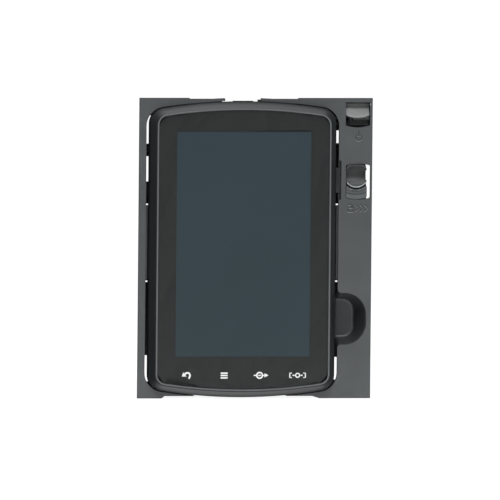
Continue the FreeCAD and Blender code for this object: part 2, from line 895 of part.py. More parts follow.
spring_left = val("lug_right")
spring_right = val("stop_left")
springs(
    "latch_springs",
    [
        coil(
            V(spring_left, val("spring_depth"), z),
            V(spring_right, val("spring_depth"), z),
            "x",
            1.3,
            0.2,
            7,
)
        for z in (val("spring_low"), val("spring_high"))
    ],
)
cover = fuse(
    "latch_cover_blank",
    [
        block("cover_plate", ("box_left", "stop_right"), ("cover_front", "cover_back"), (125.6, 167.8)),
        block(
            "stop_low",
            ("stop_left", "stop_right"),
            ("stop_front", "cover_front"),
            ("spring_low - 2.4", "spring_low + 2.4"),
),
        block(
            "stop_high",
            ("stop_left", "stop_right"),
            ("stop_front", "cover_front"),
            ("spring_high - 2.4", "spring_high + 2.4"),
),
        block("cover_rib", (68.2, 71.0), ("stop_front", "cover_front"), (142.0, 152.0)),
    ],
)
cover_bores = fuse(
    "cover_bores", [
        rod(f"cover_bore_{i}", "y", 1.05, (x, 8.0, z), 4.0)
        for i, (x, z) in enumerate(COVER_SCREWS, start=1)
]
)
finish(cut("latch_cover_shape", cover, cover_bores), "latch_cover")
screws(
    "latch_cover_screws", COVER_SCREWS, 2.0, ("cover_back", "cover_back + 1.3"), 0.9, "cover_front - 4.5"
)

# ------------------------------------------------------------- power paddle
pin_y = val("pin_depth")
pin_z = val("pin_mid")
lip_y = val("lip_front")
lip_z = val("lip_low")
thick = val("tongue_thick")
paddle_l = val("paddle_left")
paddle_r = val("paddle_right")


def side_prism(name, points, left, right):
    """A prism along X from a profile of (y, z) points."""
    corners = [V(left, y, z) for y, z in points]
    face = Part.Face(Part.makePolygon(corners + corners[:1]))
    prism = doc.addObject("Part::Feature", name)
    prism.Shape = face.extrude(V(right - left, 0, 0))
    return prism


tongue = side_prism(
    "paddle_tongue",
    [
        (pin_y - 1.6, pin_z + 0.3),
        (lip_y + 0.4, lip_z + 0.9),
        (lip_y, lip_z - 1.2),
        (lip_y + thick, lip_z - 1.2),
        (pin_y + 0.6, pin_z - 1.2),
    ],
    paddle_l,
    paddle_r,
)
barrel = rod(
    "paddle_barrel", "x", "barrel_r", ("paddle_left", "pin_depth", "pin_mid"), "paddle_right - paddle_left"
)
arm_left = 64.2
arm_back = 8.0
arm = side_prism(
    "paddle_arm",
    [(pin_y - 0.6, pin_z - 0.6), (arm_back - 2.0, 184.6), (arm_back, 184.6), (pin_y + 1.4, pin_z - 0.4)],
    arm_left,
    arm_left + 2.2,
)
apron_front = 5.4
apron = side_prism(
    "paddle_apron",
    [
        (lip_y + thick - 0.2, lip_z + 1.8),
        (lip_y + thick - 0.2, lip_z - 0.9),
        (apron_front, 187.2),
        (apron_front, val("plunger_low")),
        (apron_front + 1.2, val("plunger_low")),
        (apron_front + 1.2, lip_z - 0.2),
    ],
    val("apron_left") - 0.1,
    paddle_r,
)
bow_r = val("tongue_bow")
lip_cutter = cut(
    "lip_cutter",
    block("lip_slab", ("paddle_left - 1", "paddle_right + 1"), (-1.0, 3.4), (lip_z - 4, lip_z + 2.2)),
    rod("lip_round", "y", bow_r, ((paddle_l + paddle_r) / 2, -2.0, lip_z + bow_r), 8.0),
)
paddle_solid = fuse("paddle_blank", [cut("tongue_shape", tongue, lip_cutter), barrel, arm, apron])
paddle_bore = rod("paddle_bore", "x", "pin_r + 0.05", (60.0, "pin_depth", "pin_mid"), 19.0)
finish(cut("paddle_shape", paddle_solid, paddle_bore), "power_paddle")
finish(rod("paddle_pin_rod", "x", "pin_r", (60.1, "pin_depth", "pin_mid"), 18.6), "paddle_pin")
spring_x = 71.0
spring_z = 193.0
paddle_coil = coil(V(spring_x, 4.75, spring_z), V(spring_x, val("well_back"), spring_z), "y", 1.4, 0.22, 5)
springs("paddle_spring", [paddle_coil])

plunger = Moulding("plunger_stem")
plunger.add(
    rect(
        val("plunger_tip"), val("well_left") + 1.5, val("plunger_low"), val("plunger_high")
), "plunger_front", "plunger_back"
)
ramp_start = arm_left - 0.3
ramp_back = 11.2
ramp_end = ramp_start + 0.375 * (ramp_back - arm_back)
head_left = val("well_left") + 1.1
head = doc.addObject("Part::Feature", "plunger_head")
head_front = 5.8
head_points = [
    (head_left, head_front),
    (ramp_start, head_front),
    (ramp_start, arm_back),
    (ramp_end, ramp_back),
    (head_left, ramp_back),
]
corners = [V(x, y, val("plunger_low") - 0.1) for x, y in head_points]
head.Shape = Part.Face(Part.makePolygon(corners + corners[:1])).extrude(V(0, 0, 3.0))
finish(fuse("plunger_shape", [plunger.body, head]), "key_plunger")

# =============================================================== handheld
corner = val("shell_corner")
low = val("shell_low")
high = val("shell_high")
half = val("shell_half")
ring_half = val("ring_half")
ring_low = val("ring_low")
ring_high = val("ring_high")
ring_corner = val("ring_corner")
line = val("ring_line")
mid_z = val("display_mid")
top_pad = val("top_pad_half")
antenna_x = hx + 36.0
HOUSING_SCREWS = [(hx + side * val("screw_x"), z) for side in (-1, 1) for z in (15.0, 101.0, 176.0)]


def shell_outline(inset):
    return bowed(half - inset, low + inset, high - inset, corner - inset * 0.8)


def ring_outline(inset):
    return bowed(ring_half - inset, ring_low + inset, ring_high - inset, ring_corner - inset)


ring = Moulding("bezel_ring")
ring.add(ring_outline(0), "ring_front", "ledge")
ring.cut(ring_outline(line), "ring_front - 1", "ledge + 1")
ring.done()

glass = Moulding("touch_glass")
glass.add(ring_outline(line + 0.05), "glass_front", "glass_back")
glass.done()

mask = Moulding("display_mask")
mask.add(ring_outline(line + 0.05), "glass_back", "ledge")
mask.cut(around(hx, mid_z, val("display_w"), val("display_high")), "glass_back - 1", "ledge + 1")
mask.done()

front = Moulding("front_housing")
front.loft(
    [
        (shell_outline(4.1), "shell_front"),
        (shell_outline(1.3), "shell_shoulder"),
        (shell_outline(0), "shell_wide"),
]
)
front.add(shell_outline(0), "shell_wide", "front_end")
front.add(hand_rect(-top_pad, top_pad, high - 1.2, val("top_pad_high")), "shell_wide - 1.2", "front_end")
front.cut(ring_outline(-0.05), "shell_front - 1", "ledge")
front.cut(shell_outline(half - val("inner_half")), "front_wall_back", "front_end + 1")
for x, z in HOUSING_SCREWS:
    front.add(circle(x, z, 2.8), "front_wall_back - 0.5", "front_end")
front.cut(around(hx, mid_z, val("tray_w") + 0.6, val("tray_high") + 0.6), "ledge - 1", "front_end + 1")
strip = val("key_strip_half")
front.cut(
    hand_rect(
        -strip - 0.2, strip + 0.2, val("key_strip_low") - 0.2, val("key_strip_high") + 0.2
), "ledge - 1", "key_strip_back"
)
for x, z in HOUSING_SCREWS:
    front.cut(circle(x, z, 1.2), "front_end - 6", "front_end + 1")
front.done()

key_sensor = Moulding("touch_key_sensor")
key_sensor.add(
    hand_rect(-strip, strip, val("key_strip_low"), val("key_strip_high")), "ledge", "key_strip_back"
)
key_sensor.done()

for label, wide, tall, start, end in (
    ("lcd_panel", "panel_w", "panel_high", "panel_front", "panel_back"),
    ("backlight", "panel_w", "panel_high", "panel_back", "light_back"),
):
    slab = Moulding(label)
    slab.add(around(hx, mid_z, val(wide), val(tall)), start, end)
    slab.done()

tray = Moulding("lcd_tray")
tray.add(around(hx, mid_z, val("tray_w"), val("tray_high")), "panel_front", "tray_back")
tray.cut(
    around(
        hx, mid_z, val("tray_w") - 2 * val("tray_lip"), val("tray_high") - 2 * val("tray_lip")
), "panel_front - 1", "light_back"
)
tray.done()

seal = Moulding("housing_seal")
seal.add(shell_outline(0.7), "front_end", "rear_start")
seal.cut(shell_outline(3.6), "front_end - 1", "rear_start + 1")
seal.done()

rear = Moulding("rear_housing")
rear.loft(
    [(shell_outline(0), "rear_start"), (shell_outline(1.5), "rear_waist"), (shell_outline(5.6), "rear_end")]
)
rear.cut(shell_outline(half - val("inner_half")), "rear_start - 1", "rear_waist")
rear.cut(shell_outline(half - val("inner_half_rear")), "rear_waist", "rear_wall")
bay = val("bay_half")
bay_low = val("bay_low")
bay_high = val("bay_high")
bay_wall = val("bay_wall")
rear.add(
    hand_rect(-bay - bay_wall, bay + bay_wall, bay_low - bay_wall, bay_high + bay_wall),
    "bay_floor",
    "rear_end",
)
rear.add(hand_rect(-9.5, 9.5, bay_high, 153.5), "catch_floor - 1.5", "rear_wall + 0.5")
for x, z in HOUSING_SCREWS:
    rear.add(circle(x, z, 2.8), "rear_start", "rear_wall + 0.5")
for side in (-1, 1):
    for z in (40.0, 166.0):
        rear.add(circle(hx + side * 45.0, z, 1.8), "board_back", "rear_wall + 0.5")
rear.cut(hand_rect(-bay, bay, bay_low, bay_high), "bay_inside", "rear_end + 1")
rear.cut(hand_rect(-8.0, 8.0, bay_high + bay_wall, val("catch_high")), "catch_floor", "rear_end + 1")
rear.cut(
    hand_rect(-5.4, 5.4, bay_high - 1, bay_high + bay_wall + 1), "tongue_front - 0.4", "tongue_back + 0.3"
)
for x, z in HOUSING_SCREWS:
    rear.cut(circle(x, z, 1.4), "rear_start - 1", "rear_end + 1")
    rear.cut(circle(x, z, 2.6), "rear_wall + 0.6", "rear_end + 1")
flap_mid = (val("flap_left") + val("flap_right")) / 2
flap_half = (val("flap_right") - val("flap_left")) / 2


def flap_outline(aside, above_and_below):
    """The port cover's outline, moved outwards."""
    return hand_rect(
        flap_mid - flap_half - aside,
        flap_mid + flap_half + aside,
        val("flap_low") - above_and_below,
        val("flap_high") + above_and_below,
    )


rear.cut(flap_outline(0.2, 0.3), "flap_front", "rear_end + 1")
rear.cut(flap_outline(-1.4, -1.4), "rear_wall - 1", "rear_end + 1")
for i in range(5):
    rear.cut(hand_rect(17.0, 33.0, 26.0 + 3 * i, 27.3 + 3 * i), "rear_wall - 1", "rear_end + 1")
for x in CONTACT_X:
    rear.cut(circle(x, CONTACT_Z, 1.3), "rear_end - 0.5", "rear_end + 1")
rear.cut(hand_rect(57.0, 66.0, 182.1, 187.3), "key_front - 0.3", "key_back + 0.3")
rear.cut(circle(antenna_x, 184.0, 2.6), "rear_wall - 1", "rear_end + 1")
rear.done()

screws(
    "housing_screws", HOUSING_SCREWS, 2.4, ("rear_wall + 0.6", "rear_end - 0.1"), 1.15, "front_end - 4.5"
)

# --------------------------------------------------------------- electronics
board_mid = val("board_low") + val("board_high") / 2
board = Moulding("main_board")
board.add(around(hx, board_mid, val("board_w"), val("board_high")), "board_front", "board_back")
board.done()


def on_board(label, spots, thick):
    """Boxes on the rear of the main board: (x from the middle, z, wide, high)."""
    depths = ("board_back", f"board_back + {thick}")
    solids = [
        block(f"{label}_{i}", (hx + x - w / 2, hx + x + w / 2), depths, (z - h / 2, z + h / 2))
        for i, (x, z, w, h) in enumerate(spots, start=1)
    ]
    return finish(group(label + "_group", solids), label)


on_board(
    "board_shields", [(-18.0, 150.0, 32.0, 20.0), (20.0, 150.0, 34.0, 20.0), (-4.0, 42.0, 28.0, 22.0)], 2.5
)
on_board(
    "board_chips",
    [
        (12.0, 125.0, 14.0, 14.0),
        (-14.0, 124.0, 12.0, 12.0),
        (30.0, 92.0, 8.0, 14.0),
        (-30.0, 92.0, 9.0, 9.0),
],
    1.4,
)
on_board("gps_antenna", [(-26.0, 175.0, 25.0, 25.0)], 4.2)
finish(rod("coin_cell_disc", "y", 6.2, (hx + 12.0, "board_back", 178.0), 2.1), "coin_cell")
on_board("usb_connector", [(-36.0, 20.4, 8.0, 4.2)], 13.0)
on_board("power_switch", [(45.0, 185.0, 5.6, 5.0)], 7.6)
finish(
    cut(
        "card_socket_shape",
        block("card_socket_body", (hx - 47.0, hx - 25.0), ("board_back", 14.8), (25.0, 29.0)),
        block("card_slot", (hx - 46.2, hx - 25.8), (2.8, 16.0), (26.0, 28.0)),
    ),
    "card_socket",
)
finish(block("card_body", (hx - 46.0, hx - 26.0), (3.0, 15.2), (26.2, 27.8)), "memory_card")
finish(block("speaker_body", (hx + 12.0, hx + 38.0), (10.6, "rear_wall"), (24.5, 41.0)), "speaker")
finish(
    cut(
        "antenna_socket_shape",
        rod(
            "antenna_socket_body", "y", 2.5, (antenna_x, "board_back", 184.0), "rear_end - board_back - 0.2"
),
        rod("antenna_socket_bore", "y", 1.1, (antenna_x, 12.0, 184.0), 8.0),
    ),
    "antenna_socket",
)
discs = [
    rod(f"contact_disc_{i}", "y", 1.25, (x, "rear_end - 0.5", CONTACT_Z), 0.5)
    for i, x in enumerate(CONTACT_X, start=1)
]
finish(group("contact_disc_row", discs), "contact_pads")

# -------------------------------------------------------- battery and latches
gap = val("pack_gap")
pack = Moulding("battery_pack")
pack.add(hand_rect(-bay + gap, bay - gap, bay_low + gap, bay_high - gap), "bay_inside + 0.2", "pack_back")
pack.fillet(1.6, lambda e: abs(e.BoundBox.YMin - val("pack_back")) < 0.01)
pack.cut(hand_rect(-14.0, 14.0, bay_low - 1, bay_low + 3.2), "bay_inside - 1", "bay_inside + 2.7")
pack.cut(hand_rect(-6.0, 6.0, bay_high - 3.2, bay_high + 1), "tongue_front - 1", "pack_back + 1")
pack.done()
contacts = [
    block(
        f"battery_contact_{i}",
        (hx + x - 1.1, hx + x + 1.1),
        ("bay_inside", "bay_inside + 2.2"),
        ("bay_low", "bay_low + 2.6"),
)
    for i, x in enumerate([-10.5, -3.5, 3.5, 10.5], start=1)
]
finish(group("battery_contact_row", contacts), "battery_contacts")

button = fuse(
    "battery_button",
    [
        block(
            "button_body",
            ("hand_x - button_half", "hand_x + button_half"),
            ("catch_floor + 0.3", 17.0),
            ("button_low", "button_high"),
),
        block(
            "button_tongue",
            ("hand_x - 4.8", "hand_x + 4.8"),
            ("tongue_front", "tongue_back"),
            ("bay_high - 2.7", "button_low"),
),
    ]
    + [
        block(f"button_ridge_{i}", ("hand_x - 5", "hand_x + 5"), (17.0, 17.6), (z, z + 0.8))
        for i, z in enumerate((139.0, 140.8, 142.6), start=1)
    ],
)
finish(button, "battery_latch")
spring_y = 15.2
springs(
    "battery_latch_spring",
    [coil(V(hx, spring_y, val("button_high")), V(hx, spring_y, val("catch_high")), "z", 1.2, 0.25, 4)],
)

flap_hinge_z = val("flap_high") - val("flap_round")
flap = Moulding("port_flap_leaf")
flap.add(
    hand_rect(val("flap_left"), val("flap_right"), val("flap_low"), flap_hinge_z), "flap_face", "rear_end"
)
flap.cut(
    hand_rect(-39.0, -33.0, val("flap_low") - 1, val("flap_low") + 0.8), "flap_front - 1", "rear_end + 1"
)
flap_barrel = rod(
    "port_flap_barrel", "x", "flap_round", (
        "hand_x + flap_left", "rear_end - flap_round", "flap_high - flap_round"
), "flap_right - flap_left"
)
finish(fuse("port_flap_shape", [flap.body, flap_barrel]), "port_cover")

key = Moulding("power_key_cap")
key.add(hand_rect(62.0, 63.9, 182.4, 187.0), "key_front", "key_back")
key.add(hand_rect(49.3, 62.2, 183.7, 185.9), "stem_front", "stem_back")
finish(key.body, "power_key")

# ------------------------------------------------------------------ export
doc.recompute()
os.makedirs("parts", exist_ok=True)
for obj in doc.Objects:
    assert not {"Invalid", "Error"} & set(obj.State), f"{obj.Label}: {obj.State}"
for obj in nodes:
    shape = obj.Shape
    assert not shape.isNull() and shape.isValid() and shape.Volume > 0, obj.Label
    shape.exportStep(f"parts/{obj.Label}.step")
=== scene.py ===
# Looks for the handheld in its panel dock. Metres, in the frame of the CAD model:
# X right, Y back (the screen faces -Y), Z up, standing on Z = 0.
import json
import math

import bmesh
import bpy
from mathutils import Matrix, Vector


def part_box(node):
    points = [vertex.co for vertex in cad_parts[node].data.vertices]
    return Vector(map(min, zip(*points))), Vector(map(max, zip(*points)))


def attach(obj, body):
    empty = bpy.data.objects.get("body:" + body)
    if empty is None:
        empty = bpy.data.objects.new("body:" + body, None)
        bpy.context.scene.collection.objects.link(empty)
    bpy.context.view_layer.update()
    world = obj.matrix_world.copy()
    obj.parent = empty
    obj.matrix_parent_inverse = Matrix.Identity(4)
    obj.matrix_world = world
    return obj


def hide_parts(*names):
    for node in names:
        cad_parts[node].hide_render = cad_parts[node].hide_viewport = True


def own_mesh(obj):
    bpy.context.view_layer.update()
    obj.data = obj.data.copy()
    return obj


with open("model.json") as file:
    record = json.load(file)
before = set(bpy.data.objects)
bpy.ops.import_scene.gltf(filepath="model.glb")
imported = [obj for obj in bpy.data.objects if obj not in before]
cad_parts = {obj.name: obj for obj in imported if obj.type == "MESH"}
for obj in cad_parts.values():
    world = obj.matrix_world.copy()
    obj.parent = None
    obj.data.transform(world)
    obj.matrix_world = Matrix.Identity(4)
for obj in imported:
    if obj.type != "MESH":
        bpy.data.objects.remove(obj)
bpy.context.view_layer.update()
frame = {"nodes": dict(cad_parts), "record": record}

nodes = frame["nodes"]
scene = bpy.context.scene
scene.view_settings.view_transform = "Standard"
MM = 0.001

PLATE_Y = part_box("dock_frame")[0].y
GLASS_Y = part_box("touch_glass")[0].y
GLASS_LOW, GLASS_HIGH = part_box("touch_glass")
HAND_X = (GLASS_LOW.x + GLASS_HIGH.x) / 2


# ---------------------------------------------------------------- materials
def srgb(*levels):
    """Linear colour from 0-255 display levels."""
    values = [c / 255 for c in levels]
    return tuple(c / 12.92 if c <= 0.04045 else ((c + 0.055) / 1.055) ** 2.4 for c in values) + (1.0,)


def tinted(colour, factor):
    return tuple(min(1.0, c * factor) for c in colour[:3]) + (1.0,)


SHADER_INPUTS = {
    "rough": "Roughness",
    "ior": "IOR",
    "alpha": "Alpha",
    "metallic": "Metallic",
    "specular": "Specular IOR Level",
    "emission": "Emission Color",
    "emit": "Emission Strength",
}


class Finish:
    """A Principled material with object-space noise for colour, gloss and bump."""

    def __init__(self, name):
        self.mat = bpy.data.materials.new(name)
        self.mat.use_nodes = True
        self.tree = self.mat.node_tree
        self.shader = self.tree.nodes["Principled BSDF"]
        coords = self.tree.nodes.new("ShaderNodeTexCoord")
        self.coords = coords.outputs["Object"]

    def link(self, a, b):
        self.tree.links.new(a, b)

    def noise(self, scale, detail=3.0, rough=0.55, stretch=(1, 1, 1)):
        mapping = self.tree.nodes.new("ShaderNodeMapping")
        mapping.inputs["Scale"].default_value = stretch
        self.link(self.coords, mapping.inputs["Vector"])
        node = self.tree.nodes.new("ShaderNodeTexNoise")
        node.inputs["Scale"].default_value = scale
        node.inputs["Detail"].default_value = detail
        node.inputs["Roughness"].default_value = rough
        self.link(mapping.outputs["Vector"], node.inputs["Vector"])
        return node.outputs["Fac"]

    def ramp(self, source, stops):
        node = self.tree.nodes.new("ShaderNodeValToRGB")
        elements = node.color_ramp.elements
        while len(elements) < len(stops):
            elements.new(0.5)
        for element, (place, colour) in zip(elements, stops):
            element.position = place
            element.color = colour if len(colour) == 4 else tuple(colour) + (1.0,)
        self.link(source, node.inputs["Fac"])
        return node.outputs["Color"]

    def levels_along(self, distance, stops, start=0.0):
        """Grey levels along a distance in metres; stops are (millimetres from start, level)."""
        first, last = stops[0][0], stops[-1][0]
        node = self.tree.nodes.new("ShaderNodeMapRange")
        node.inputs["From Min"].default_value = start + first * MM
        node.inputs["From Max"].default_value = start + last * MM
        self.link(distance, node.inputs["Value"])
        places = [((place - first) / (last - first), (level, level, level)) for place, level in stops]
        return self.ramp(node.outputs["Result"], places)

    def by_depth(self, stops):
        """Grey levels by depth behind the dock's front face; stops are (millimetres, level)."""
        split = self.tree.nodes.new("ShaderNodeSeparateXYZ")
        self.link(self.coords, split.inputs[0])
        return self.levels_along(split.outputs["Y"], stops, PLATE_Y)

    def shade_rings(self, middle, stops):
        """Scale the base colour by distance from middle in the X-Z plane; stops are (millimetres, level)."""
        flat = self.tree.nodes.new("ShaderNodeMapping")
        flat.inputs["Scale"].default_value = (1, 0, 1)
        self.link(self.coords, flat.inputs["Vector"])
        away = self.tree.nodes.new("ShaderNodeVectorMath")
        away.operation = "DISTANCE"
        self.link(flat.outputs["Vector"], away.inputs[0])
        away.inputs[1].default_value = (middle[0], 0, middle[1])
        base = self.shader.inputs["Base Color"]
        tone = base.links[0].from_socket
        self.link(self.times(tone, self.levels_along(away.outputs["Value"], stops)), base)

    def times(self, a, b):
        node = self.tree.nodes.new("ShaderNodeMix")
        node.data_type = "RGBA"
        node.blend_type = "MULTIPLY"
        node.inputs[0].default_value = 1.0
        self.link(a, node.inputs[6])
        self.link(b, node.inputs[7])
        return node.outputs[2]

    def spread(self, source, low, high):
        node = self.tree.nodes.new("ShaderNodeMapRange")
        node.inputs["To Min"].default_value = low
        node.inputs["To Max"].default_value = high
        self.link(source, node.inputs["Value"])
        return node.outputs["Result"]

    def paint(self, source, stops):
        """Drive the base colour by a ramp over source."""
        self.link(self.ramp(source, stops), self.shader.inputs["Base Color"])

    def gloss(self, source, low, high):
        """Drive the roughness between low and high by source."""
        self.link(self.spread(source, low, high), self.shader.inputs["Roughness"])

    def bump(self, *layers):
        """Stack (height source, strength, distance) layers of bump."""
        last = None
        for source, strength, distance in layers:
            node = self.tree.nodes.new("ShaderNodeBump")
            node.inputs["Strength"].default_value = strength
            node.inputs["Distance"].default_value = distance
            self.link(source, node.inputs["Height"])
            if last is not None:
                self.link(last, node.inputs["Normal"])
            last = node.outputs["Normal"]
        self.link(last, self.shader.inputs["Normal"])
        return self

    def set(self, **values):
        for key, value in values.items():
            self.shader.inputs[SHADER_INPUTS[key]].default_value = value
        return self


def plastic(
    name, colour, rough=(0.42, 0.58), grain=2600, depth=0.00003, variation=0.10, specular=0.5, recess=None
):
    """Moulded plastic: fine grain bump, slow colour drift, worn gloss and, with recess, painted light and
    shade by depth behind the dock's face, darker in hollows where shade falls.
    """
    f = Finish(name)
    drift = f.noise(38, 2.0)
    tone = f.ramp(drift, [(0.3, tinted(colour, 1 - variation)), (0.7, tinted(colour, 1 + variation))])
    # painted light and shade: the depth stops scale the colour
    if recess:
        tone = f.times(tone, f.by_depth(recess))
    f.link(tone, f.shader.inputs["Base Color"])
    grain_noise = f.noise(grain, 2.0, 0.6)
    f.gloss(f.noise(190, 2.0), *rough)
    f.bump((f.noise(45, 1.0), 0.15, 0.0002), (grain_noise, 0.55, depth))
    return f.set(specular=specular)


def metal(name, colour, rough=(0.22, 0.38), stretch=(1, 1, 30), brushed=900):
    f = Finish(name)
    lines = f.noise(brushed, 2.0, 0.6, stretch)
    f.paint(lines, [(0.3, tinted(colour, 0.88)), (0.7, tinted(colour, 1.1))])
    f.gloss(lines, *rough)
    f.bump((lines, 0.2, 0.00001))
    return f.set(metallic=1.0)


# painted light and shade by depth behind the dock's face: darker down the walls of hollows where shade falls,
# paler on the thumb scoop's floor and on the knob's front where light falls
DOCK_DEPTH_SHADING = [(0.0, 1.0), (1.5, 0.65), (3.4, 0.35), (15.5, 0.3), (17.2, 1.05), (18.6, 1.05), (28.0, 1.2)]
KNOB_DEPTH_SHADING = [(-1.8, 1.1), (-1.0, 0.9), (-0.3, 0.95), (0.5, 1.1), (1.2, 0.35), (3.2, 0.25), (6.0, 0.25)]
DOCK = plastic("dock_moulding", srgb(72, 75, 77), (0.34, 0.46), 1900, 0.00005, recess=DOCK_DEPTH_SHADING)
KNOB = plastic("knob_moulding", srgb(64, 68, 70), (0.5, 0.62), 1500, 0.00007, recess=KNOB_DEPTH_SHADING)
# painted highlight: a paler copy of the rocker's plastic for the lit tops of its ribs and the line along its
# crease
PADDLE_HIGHLIGHT = plastic("rocker_painted_highlight", srgb(122, 125, 125), (0.34, 0.46), 1500, 0.00004)
# painted highlight: a pale copy of the dock's plastic for bright lines where edges catch the light
LIP = plastic("lip_painted_highlight", srgb(176, 180, 181), (0.3, 0.42), 1500, 0.00003)
SHADOWED = plastic("dock_recess_shadow", srgb(40, 42, 44), (0.6, 0.7), 1900, 0.00003)
# painted shade and light on the latch knob: dark in the groove about its thumb pad, where shade falls, and
# pale below it, where light falls
PAD = (68.4 * MM, 151.15 * MM)
KNOB_SHADE_RINGS = [(7.0, 1.0), (8.4, 0.8), (8.6, 0.3), (10.0, 0.35)]
KNOB_SHADE_RINGS += [(10.3, 1.2), (13.6, 1.2), (13.9, 1.45), (20.0, 1.45)]
KNOB.shade_rings(PAD, KNOB_SHADE_RINGS)
# the rocker's plastic is set paler than the dock's: painted light added to the light its upward-tilted face
# catches
PADDLE = plastic("paddle_moulding", srgb(100, 103, 103), (0.48, 0.6), 1500, 0.00006)
# below its curved lip the rocker falls back into the well, where painted shade keeps it dark
ROCKER_LIP = (0.06935, 0.2071)
PADDLE.shade_rings(ROCKER_LIP, [(16.0, 1.0), (17.4, 1.0), (17.7, 0.3), (20.0, 0.3)])
SHELL = plastic("shell_moulding", srgb(36, 39, 41), (0.28, 0.38), 3200, 0.00002)
BATTERY = plastic("battery_moulding", srgb(58, 60, 63), (0.45, 0.6), 1500, 0.00005)
CONNECTOR = plastic("connector_moulding", srgb(46, 47, 49), (0.4, 0.6), 2400, 0.00002)
RUBBER = plastic("rubber_skin", srgb(40, 41, 43), (0.7, 0.85), 1300, 0.00006, 0.14, 0.3)
SILVER = metal("silver_line", srgb(94, 98, 99), (0.4, 0.52)).set(metallic=0.1, specular=0.4)
STEEL = metal("bright_steel", srgb(186, 187, 189), (0.22, 0.36))
SPRING = metal("spring_wire", srgb(196, 197, 200), (0.18, 0.3), (20, 1, 1), 700)
BRASS = metal("turned_brass", srgb(206, 176, 108), (0.2, 0.34), (1, 30, 1), 800)


def glass_finish():
    """Clear cover glass: mostly see-through, with faint smudges in its gloss."""
    f = Finish("cover_glass")
    smudge = f.noise(28, 3.0)
    f.gloss(smudge, 0.03, 0.08)
    f.paint(smudge, [(0.3, (0.02, 0.024, 0.025)), (0.7, (0.03, 0.034, 0.035))])
    return f.set(alpha=0.12, ior=1.5)


def display_finish():
    """A blank screen: a slow mottle, a fine pixel weave and a soft blue-grey cast."""
    f = Finish("blank_display")
    mottle = f.noise(16, 2.0)
    f.paint(mottle, [(0.3, tinted(DISPLAY_BLUE, 0.96)), (0.7, tinted(DISPLAY_BLUE, 1.04))])
    weave = f.noise(4200, 1.0)
    f.gloss(weave, 0.3, 0.36)
    f.bump((weave, 0.02, 0.000002))
    return f


def print_finish(name, colour):
    f = Finish(name)
    speck = f.noise(5200, 1.0)
    f.paint(speck, [(0.3, tinted(colour, 0.92)), (0.7, tinted(colour, 1.05))])
    f.gloss(speck, 0.35, 0.5)
    f.bump((speck, 0.1, 0.000005))
    return f


def board_finish():
    f = Finish("solder_mask")
    f.paint(f.noise(120, 4.0), [(0.4, srgb(16, 74, 42)), (0.55, srgb(26, 96, 56)), (0.7, srgb(20, 82, 48))])
    f.gloss(f.noise(900, 2.0), 0.25, 0.42)
    f.bump((f.noise(420, 3.0), 0.3, 0.00003))
    return f


DISPLAY_BLUE = srgb(52, 68, 76)
GLASS = glass_finish()
DISPLAY = display_finish()
BLACK_PRINT = print_finish("black_print", srgb(37, 40, 40))
WHITE_PRINT = print_finish("white_print", srgb(236, 238, 238))
BOARD = board_finish()
CERAMIC = plastic("fired_ceramic", srgb(208, 200, 184), (0.5, 0.66), 2100, 0.00003, 0.05)
DIFFUSER = plastic("diffuser_sheet", srgb(226, 226, 222), (0.5, 0.6), 2400, 0.00001, 0.03)

FINISHES = {
    "dock_plastic": DOCK,
    "knob_plastic": KNOB,
    "paddle_plastic": PADDLE,
    "shell_plastic": SHELL,
    "silver_trim": SILVER,
    "cover_glass": GLASS,
    "black_print": BLACK_PRINT,
    "display": DISPLAY,
    "diffuser": DIFFUSER,
    "tray_steel": STEEL,
    "steel": STEEL,
    "spring_steel": SPRING,
    "brass": BRASS,
    "circuit_board": BOARD,
    "chip_plastic": CONNECTOR,
    "ceramic": CERAMIC,
    "connector_plastic": CONNECTOR,
    "rubber": RUBBER,
    "battery_plastic": BATTERY,
}
for part in frame["record"]["subparts"]:
    node = nodes[part["node"]]
    for material_slot in node.material_slots:
        material_slot.material = FINISHES[part["material_slot"]].mat


# ------------------------------------------------------------- CAD softening
CREASE_ANGLE = 32  # degrees; edges that turn less stay as they are


def weld(piece, distance):
    piece.modifiers.new("weld", "WELD").merge_threshold = distance


def soften(name, width):
    """Weld a CAD mesh's split corners and round its edges."""
    piece = nodes[name]
    weld(piece, 0.000002)
    bevel = piece.modifiers.new("edge", "BEVEL")
    bevel.width = width
    bevel.segments = 2
    bevel.limit_method = "ANGLE"
    bevel.angle_limit = math.radians(CREASE_ANGLE)
    bevel.harden_normals = True


for name, width in (
    ("dock_frame", 0.0002),
    ("latch_slide", 0.00045),
    ("power_paddle", 0.0003),
    ("dock_back", 0.0003),
    ("side_guides", 0.0002),
    ("latch_cover", 0.0003),
    ("battery_pack", 0.0003),
    ("battery_latch", 0.00025),
    ("rear_housing", 0.0002),
    ("dock_board", 0.0001),
    ("power_socket", 0.0001),
):
    soften(name, width)


# ------------------------------------------------------------- piece helpers
def new_piece(name, body, finish, verts, faces, smooth=False):
    mesh = bpy.data.meshes.new(name)
    mesh.from_pydata([tuple(v) for v in verts], [], faces)
    mesh.update()
    work = bmesh.new()
    work.from_mesh(mesh)
    bmesh.ops.recalc_face_normals(work, faces=work.faces)
    work.to_mesh(mesh)
    work.free()
    for polygon in mesh.polygons:
        polygon.use_smooth = smooth
    piece = bpy.data.objects.new(name, mesh)
    scene.collection.objects.link(piece)
    mesh.materials.append(finish.mat)
    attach(piece, body)
    return piece


def arc(cx, cz, r, start, end, steps=24):
    """Points on an arc in the X-Z plane; angles in degrees, from +X towards +Z."""
    return [
        (
            cx + r * math.cos(math.radians(start + (end - start) * i / steps)),
            cz + r * math.sin(math.radians(start + (end - start) * i / steps)),
        )
        for i in range(steps + 1)
    ]


